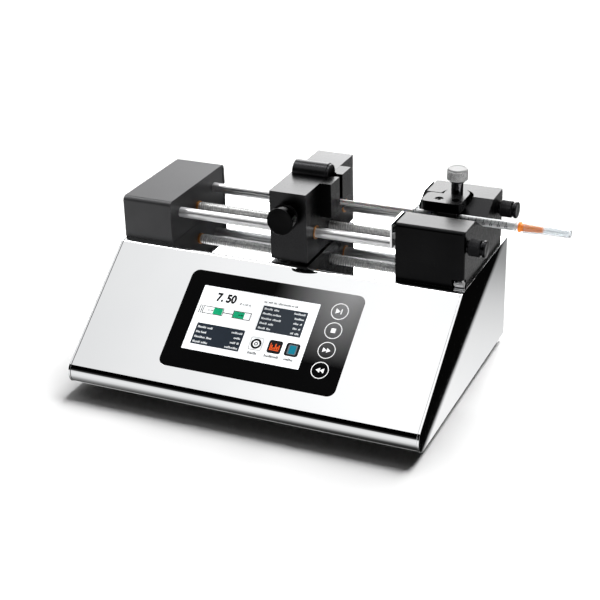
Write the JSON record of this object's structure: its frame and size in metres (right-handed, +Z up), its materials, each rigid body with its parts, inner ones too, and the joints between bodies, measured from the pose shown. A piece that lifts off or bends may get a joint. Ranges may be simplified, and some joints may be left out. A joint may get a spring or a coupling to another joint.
{
  "type": "syringe infusion pump",
  "caption": "bench syringe infusion pump with a sloped polished steel base and touch screen, a lead-screw pusher, guide rods and a V-groove cradle clamping a small syringe",
  "frame": {"origin": "on the bench, at the middle of the steel base", "axes": "+X along the syringe towards the needle, +Y to the back, +Z up"},
  "size_m": [0.343, 0.2048, 0.155],
  "materials": {
    "polished_steel": "mirror polished",
    "plain_steel": "satin",
    "bright_steel": "ground and polished",
    "black_anodised": "satin black anodised",
    "grey_anodised": "satin dark grey anodised",
    "silver_aluminium": "turned",
    "bronze": "turned",
    "black_glass": "polished",
    "black_plastic": "matte",
    "board": "solder mask",
    "black_rubber": "matte",
    "clear_plastic": "clear",
    "white_plastic": "glossy",
    "orange_plastic": "glossy"
  },
  "bodies": {
    "base": {"housing_shell": "polished_steel", "left_side_panel": "polished_steel", "right_side_panel": "polished_steel", "base_tray": "plain_steel", "rear_panel": "plain_steel", "case_screws": "plain_steel", "foot_front_left": "black_rubber", "foot_front_right": "black_rubber", "foot_rear_left": "black_rubber", "foot_rear_right": "black_rubber", "feet_screws": "plain_steel", "display_glass": "black_glass", "lcd_module": "plain_steel", "display_frame": "black_plastic", "control_board": "board", "power_supply": "plain_steel", "power_inlet": "black_plastic", "switch_frame": "black_plastic", "serial_port": "plain_steel", "stepper_motor": "silver_aluminium", "motor_bracket": "plain_steel", "timing_belt": "black_rubber", "drive_cover": "grey_anodised", "drive_end_plate": "grey_anodised", "screw_bush_left": "bronze", "screw_bush_right": "bronze", "front_guide_rod": "bright_steel", "rear_guide_rod": "bright_steel", "cradle_block": "black_anodised", "corner_tab": "polished_steel", "syringe_barrel": "clear_plastic", "needle_hub": "orange_plastic", "needle": "plain_steel"},
    "lead_screw_assembly": {"lead_screw": "bright_steel", "screw_pulley": "plain_steel"},
    "motor_shaft": {"motor_pulley": "plain_steel"},
    "pusher": {"pusher_block": "black_anodised", "guide_bushings": "bronze", "plunger_bracket": "black_anodised", "pusher_screws": "black_anodised", "top_grip": "black_anodised", "release_collar": "black_anodised", "nut_spring": "plain_steel", "syringe_plunger": "white_plastic", "plunger_seal": "black_rubber"},
    "release": {"release_knob": "black_anodised"},
    "nut": {"half_nut": "bronze"},
    "flange_retainer": {"flange_plate": "polished_steel", "flange_rods": "bright_steel"},
    "front_thumbscrew": {"front_thumb_screw": "black_anodised"},
    "rear_thumbscrew": {"rear_thumb_screw": "black_anodised"},
    "post": {"clamp_post": "bright_steel"},
    "arm": {"clamp_arm": "black_anodised", "clamp_pad": "black_plastic", "clamp_screws": "black_anodised"},
    "knob": {"clamp_knob": "silver_aluminium"},
    "rocker": {"power_rocker": "black_plastic"},
    "cap": {"needle_cap": "clear_plastic"}
  },
  "joints": [
    {"name": "pusher_slide", "type": "slide", "parent": "base", "child": "pusher", "axis": [1, 0, 0], "range_m": [-0.015, 0.053]},
    {"name": "lead_screw_spin", "type": "hinge", "parent": "base", "child": "lead_screw_assembly", "pos_m": [0, 0.0431, 0.1035], "axis": [1, 0, 0], "range_deg": [-4775, 1355]},
    {"name": "motor_shaft_spin", "type": "hinge", "parent": "base", "child": "motor_shaft", "pos_m": [-0.09, 0.0431, 0.0495], "axis": [1, 0, 0], "range_deg": [-4775, 1355]},
    {"name": "release_push", "type": "slide", "parent": "pusher", "child": "release", "axis": [0, 1, 0], "range_m": [0, 0.0035], "stiffness_N_per_m": 500, "springref_m": -0.004},
    {"name": "half_nut_drop", "type": "slide", "parent": "pusher", "child": "nut", "axis": [0, 0, 1], "range_m": [-0.0025, 0], "deforming": ["nut_spring"]},
    {"name": "flange_slide", "type": "slide", "parent": "base", "child": "flange_retainer", "axis": [1, 0, 0], "range_m": [-0.004, 0]},
    {"name": "front_thumbscrew_turn", "type": "hinge", "parent": "base", "child": "front_thumbscrew", "pos_m": [0.146, 0.0039, 0.1205], "axis": [1, 0, 0], "range_deg": [0, 1801]},
    {"name": "rear_thumbscrew_turn", "type": "hinge", "parent": "base", "child": "rear_thumbscrew", "pos_m": [0.146, 0.0823, 0.1205], "axis": [1, 0, 0], "range_deg": [0, 1801]},
    {"name": "clamp_lift", "type": "slide", "parent": "base", "child": "post", "axis": [0, 0, 1], "range_m": [0, 0.02]},
    {"name": "clamp_swing", "type": "hinge", "parent": "post", "child": "arm", "pos_m": [0.11, 0.0651, 0.1335], "axis": [0, 0, 1], "range_deg": [0, 90.5]},
    {"name": "clamp_knob_turn", "type": "hinge", "parent": "post", "child": "knob", "pos_m": [0.11, 0.0651, 0.1495], "axis": [0, 0, 1], "continuous": true},
    {"name": "power_rocker_tilt", "type": "hinge", "parent": "base", "child": "rocker", "pos_m": [-0.058, 0.0938, 0.036], "axis": [1, 0, 0], "range_deg": [-14, 0]},
    {"name": "needle_cap_pull", "type": "slide", "parent": "base", "child": "cap", "axis": [1, 0, 0], "range_m": [0, 0.038]}
  ],
  "couplings": [
    {"joint": "lead_screw_spin", "follows": "pusher_slide", "rad_per_m": -1570.8},
    {"joint": "motor_shaft_spin", "follows": "pusher_slide", "rad_per_m": -1570.8},
    {"joint": "half_nut_drop", "follows": "release_push", "ratio": -0.7},
    {"joint": "front_thumbscrew_turn", "follows": "flange_slide", "rad_per_m": -7854},
    {"joint": "rear_thumbscrew_turn", "follows": "flange_slide", "rad_per_m": -7854},
    {"joint": "clamp_swing", "follows": "clamp_lift", "rad_per_m": 78.54}
  ]
}
